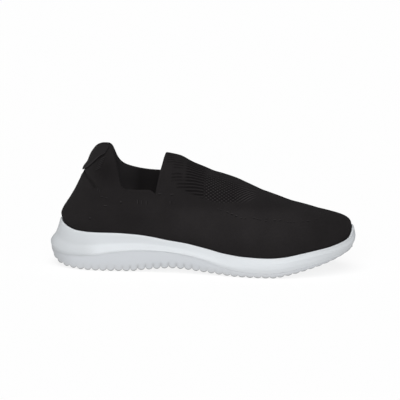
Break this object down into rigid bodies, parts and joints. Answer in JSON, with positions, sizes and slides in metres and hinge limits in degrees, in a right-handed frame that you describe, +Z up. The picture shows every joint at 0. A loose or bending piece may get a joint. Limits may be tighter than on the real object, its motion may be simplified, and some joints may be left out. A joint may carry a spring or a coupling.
{
  "type": "slip-on sneaker",
  "caption": "Knitted slip-on sneaker for the right foot, with an open collar, foam midsole and toothed tread.",
  "frame": {"origin": "on the floor, at the middle of the sole's length and width", "axes": "+X runs from heel to toe, +Y to the inner side of the foot, +Z up"},
  "size_m": [0.295, 0.1053, 0.1201],
  "materials": {
    "outsole": "matte pale grey moulded tread",
    "midsole": "satin white moulded foam",
    "insole": "matte cloth over foam",
    "upper": "matte black flat knit",
    "heel_tab": "matte black woven band"
  },
  "bodies": {
    "root": {"outsole": "outsole", "midsole": "midsole", "insole": "insole", "upper": "upper", "heel_tab": "heel_tab"}
  },
  "joints": []
}
